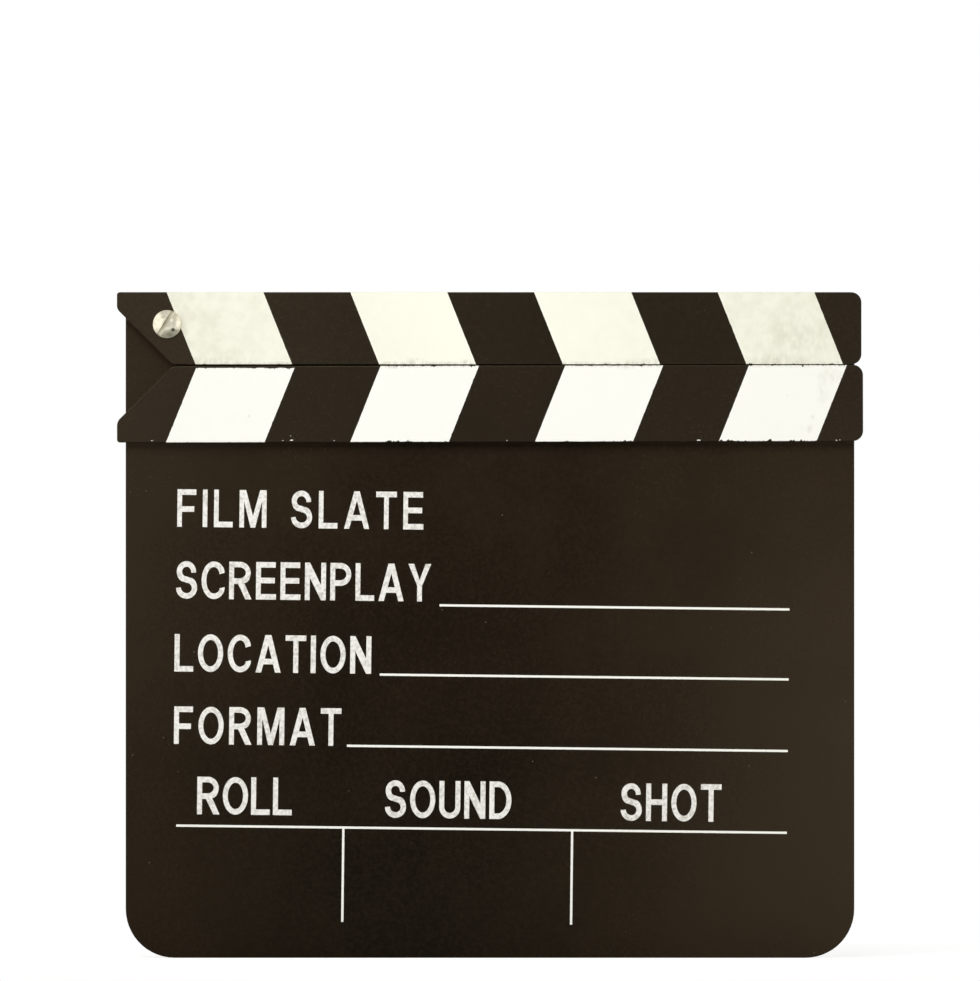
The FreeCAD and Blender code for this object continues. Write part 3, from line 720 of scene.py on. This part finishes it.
def turnHead(spec):
    # half profile from the crown down to the shank's end, spun about the shank
    mesh = bmesh.new()
    rim, crown = spec["rimRadiusMm"], spec["crownMm"]
    dome = (rim ** 2 + crown ** 2) / (2 * crown)
    top = spec["rimMm"] + crown
    made = bmesh.ops.spin(mesh, geom=[mesh.verts.new((0, 0, top))], cent=(0, 0, top - dome), axis=(0, 1, 0),
                          angle=math.asin(rim / dome), steps=turning["domeSteps"])
    point = next(v for v in made["geom_last"] if isinstance(v, bmesh.types.BMVert))
    shank = spec["shankRadiusMm"]
    for place in ((rim, 0, 0), (shank, 0, 0), (shank, 0, -spec["shankMm"]), (0, 0, -spec["shankMm"])):
        point = bmesh.ops.extrude_vert_indiv(mesh, verts=[point])["verts"][0]
        point.co = place
    bmesh.ops.spin(mesh, geom=mesh.verts[:] + mesh.edges[:], cent=(0, 0, 0), axis=(0, 0, 1),
                   angle=2 * math.pi, steps=turning["roundSteps"], use_merge=True)
    bmesh.ops.remove_doubles(mesh, verts=mesh.verts, dist=turning["weldMm"])
    bmesh.ops.recalc_face_normals(mesh, faces=mesh.faces)
    return mesh


def cutSlot(mesh, spec):
    block = bmesh.new()
    bmesh.ops.create_cube(block, size=1)
    depth = spec["slotDepthMm"]
    bmesh.ops.scale(block, vec=(3 * spec["rimRadiusMm"], spec["slotWidthMm"], 2 * depth), verts=block.verts)
    middle = (0, spec["slotOffMm"], spec["rimMm"] + spec["crownMm"])
    bmesh.ops.translate(block, vec=middle, verts=block.verts)
    pair = []
    for source in (mesh, block):
        data = bpy.data.meshes.new("cut")
        source.to_mesh(data)
        pair.append(bpy.data.objects.new("cut", data))
        bpy.context.scene.collection.objects.link(pair[-1])
    cut = pair[0].modifiers.new("slot", "BOOLEAN")
    cut.object = pair[1]
    cut.solver = "EXACT"
    bpy.context.view_layer.update()
    slotted = bpy.data.meshes.new_from_object(pair[0].evaluated_get(bpy.context.evaluated_depsgraph_get()))
    mesh.clear()
    mesh.from_mesh(slotted)
    block.free()
    for thing in pair:
        bpy.data.meshes.remove(thing.data)
    bpy.data.meshes.remove(slotted)


def roundEdges(mesh, offset):
    limit = math.radians(turning["sharpDegrees"])
    sharp = [e for e in mesh.edges if e.is_manifold and e.calc_face_angle() > limit]
    bmesh.ops.bevel(mesh, geom=sharp, offset=offset, offset_type="OFFSET", affect="EDGES", segments=2,
                    profile=0.5, material=-1, clamp_overlap=True)


def turnedMetal(name, spec):
    mesh = turnHead(spec)
    roundEdges(mesh, spec["bevelMm"])
    if spec["slotWidthMm"]:
        cutSlot(mesh, spec)
        inSlot = spec["slotWidthMm"] / 2 + 0.01  # a hair wider, to take in its walls
        for face in mesh.faces:
            middle = face.calc_center_median()
            face.material_index = abs(middle.y - spec["slotOffMm"]) < inSlot and middle.z > 0
        turn = Matrix.Rotation(math.radians(spec["slotDegrees"]), 3, "Z")
        bmesh.ops.rotate(mesh, matrix=turn, verts=mesh.verts)
    low, high = (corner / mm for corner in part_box(spec["node"]))
    headMm = spec["rimMm"] + spec["crownMm"]
    seat = high.y - headMm if spec["towards"] > 0 else low.y + headMm
    stand = Matrix.Rotation(math.radians(-90 * spec["towards"]), 4, "X")
    place = Matrix.Translation(((low.x + high.x) / 2, seat, (low.z + high.z) / 2))
    bmesh.ops.transform(mesh, matrix=Matrix.Scale(mm, 4) @ place @ stand, verts=mesh.verts)
    for face in mesh.faces:
        face.smooth = True
    piece = finishPiece(name, mesh, spec["metals"][0], "board")
    for metal in spec["metals"][1:]:
        piece.data.materials.append(metal)
    piece.data.set_sharp_from_angle(angle=math.radians(turning["shadeDegrees"]))
    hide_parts(spec["node"])
    return piece


screwPiece = turnedMetal("slotted_screw", screw)
turnedMetal("binding_post", post)
print("pivot turned")


# camera square to the front, far enough back that the board shows no perspective
photo = {"distance": 9.0, "pixelsPerMetre": 3686.5, "imageHeight": 981, "middleHeight": 0.12684}
cameraData = bpy.data.cameras.new("camera")
cameraData.lens = cameraData.sensor_width * photo["distance"] * photo["pixelsPerMetre"] / photo["imageHeight"]
camera = bpy.data.objects.new("camera", cameraData)
camera.location = (0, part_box("lower_stick")[0].y - photo["distance"], photo["middleHeight"])
camera.rotation_euler = (math.pi / 2, 0, 0)
bpy.context.scene.collection.objects.link(camera)
bpy.context.scene.camera = camera

# studio: a large soft box above the lens, two small ones beside it, one behind, pale floor, white all round
softBoxes = {
    "top_box": {"place": (-0.2, -0.95, 0.6), "size": (0.6, 0.452), "watts": 6.8},
    "left_box": {"place": (-0.203, -0.419, 0.112), "size": (0.25, 0.12), "watts": 0.115},
    "right_box": {"place": (0.228, -0.4, 0.04), "size": (0.372, 0.16), "watts": 0.28},
    "back_box": {"place": (0.45, 0.85, 0.55), "size": (0.6, 0.6), "watts": 1.8},
    "lens_card": {"place": (-0.088, -1.0, 0.17), "size": (1.3, 1.3), "watts": 3.6},
}
aim = Vector((0, 0, 0.1))  # about the middle of the board
for name, box in softBoxes.items():
    lampData = bpy.data.lights.new(name, "AREA")
    lampData.energy = box["watts"]
    lampData.shape = "RECTANGLE"
    lampData.size, lampData.size_y = box["size"]
    lamp = bpy.data.objects.new(name, lampData)
    lamp.location = box["place"]
    lamp.rotation_euler = (aim - lamp.location).to_track_quat("-Z", "Y").to_euler()
    lamp.visible_camera = False
    bpy.context.scene.collection.objects.link(lamp)
    box["lamp"] = lamp

# the front boxes would glare in the screw's dome, so it sees a plain card round the lens instead of them
for state, names in (("EXCLUDE", ("top_box", "left_box", "right_box")), ("INCLUDE", ("lens_card",))):
    linked = bpy.data.collections.new("screw_" + state.lower())
    linked.objects.link(screwPiece)
    linked.collection_objects[0].light_linking.link_state = state
    for name in names:
        softBoxes[name]["lamp"].light_linking.receiver_collection = linked

surroundings = {
    "fill": 0.36,
    "white": 1.0,
    "room": 0.75,
    "window": 1.25,
    "leftWindow": (-0.42, -0.6),  # direction in which it begins and in which it is full
    "rightWindow": (0.74, 0.86),
    "behind": (0.5, 0.72),
    "lensShade": 0.0,
    "shadeEdge": (-0.92, -0.8),
}
world = bpy.data.worlds.new("studio")
world.use_nodes = True
bpy.context.scene.world = world
tree = world.node_tree
background = tree.nodes["Background"]
path = addNode(tree, "LightPath").outputs
direction = addNode(tree, "SeparateXYZ", {0: addNode(tree, "TexCoord").outputs["Generated"]}).outputs
# what metal and paint mirror: white windows at the sides, white behind, a dimmer room in front,
# and dark round the lens
room = surroundings["room"]
panes = (("leftWindow", "X", "window"), ("rightWindow", "X", "window"), ("behind", "Y", "white"))
for name, axis, shine in panes:
    low, high = surroundings[name]
    pane = addNode(tree, "MapRange", {"Value": direction[axis], "From Min": low, "From Max": high,
                                      "To Min": surroundings["room"], "To Max": surroundings[shine]},
                   interpolation_type="SMOOTHSTEP").outputs[0]
    room = addNode(tree, "Math", {0: room, 1: pane}, operation="MAXIMUM").outputs[0]
low, high = surroundings["shadeEdge"]
lens = addNode(tree, "MapRange", {"Value": direction["Y"], "From Min": low, "From Max": high,
                                  "To Min": surroundings["lensShade"]}).outputs[0]
beside = addNode(tree, "Math", {0: room, 1: lens}, operation="MULTIPLY")
mirrors = {0: path["Is Glossy Ray"], 1: path["Is Transmission Ray"]}
mirror = addNode(tree, "Math", mirrors, operation="MAXIMUM")
mirrored = {factor: mirror.outputs[0], usual: surroundings["fill"], instead: beside.outputs[0]}
level = addNode(tree, "Mix", mirrored)
backdrop = {factor: path["Is Camera Ray"], usual: level.outputs[0], instead: surroundings["white"]}
level = addNode(tree, "Mix", backdrop)
tree.links.new(level.outputs[0], background.inputs["Strength"])
background.inputs["Color"].default_value = (1, 1, 1, 1)

# matt white background paper: evenly pale, takes a soft shadow and never shines
floorLook = {
    "colour": "#c8c8c6",
    "roughness": 0.9,
    "radius": 0.6,
    "segments": 96,
    "glow": 0.7,  # only for the eye, so that it meets the white of the surroundings
    "paperMm": (200, 420),  # how far out it begins to fade and is gone
}
floorMesh = bmesh.new()
bmesh.ops.create_circle(floorMesh, cap_ends=True, segments=floorLook["segments"], radius=floorLook["radius"])
floorData = bpy.data.meshes.new("floor")
floorMesh.to_mesh(floorData)
floorMesh.free()
floor = bpy.data.objects.new("floor", floorData)
bpy.context.scene.collection.objects.link(floor)
paper, tree, shader, place = newMaterial("white_background_paper")
shader.inputs["Base Color"].default_value = linear(floorLook["colour"])
shader.inputs["Roughness"].default_value = floorLook["roughness"]
shader.inputs["Specular IOR Level"].default_value = 0
shader.inputs["Emission Color"].default_value = (1, 1, 1, 1)
path = addNode(tree, "LightPath").outputs
eyes = {0: path["Is Camera Ray"], 1: path["Is Glossy Ray"]}
seen = addNode(tree, "Math", eyes, operation="MAXIMUM").outputs[0]
glow = addNode(tree, "Math", {0: path["Is Camera Ray"], 1: floorLook["glow"]}, operation="MULTIPLY")
tree.links.new(glow.outputs[0], shader.inputs["Emission Strength"])
# the paper fades into the white of the surroundings a little way from the object, for the eye and for mirrors
reach = addNode(tree, "VectorMath", {0: place}, operation="LENGTH").outputs["Value"]
near, far = floorLook["paperMm"]
fade = addNode(tree, "MapRange", {"Value": reach, "From Min": near * mm, "From Max": far * mm},
               interpolation_type="SMOOTHSTEP").outputs[0]
away = addNode(tree, "Math", {0: seen, 1: fade}, operation="MULTIPLY").outputs[0]
white = addNode(tree, "Emission", {"Strength": surroundings["white"]}).outputs[0]
faded = addNode(tree, "MixShader", {0: away, 1: shader.outputs[0], 2: white}).outputs[0]
tree.links.new(faded, tree.nodes["Material Output"].inputs["Surface"])
floorData.materials.append(paper)
bpy.context.scene.view_settings.view_transform = "Standard"
print("studio set")
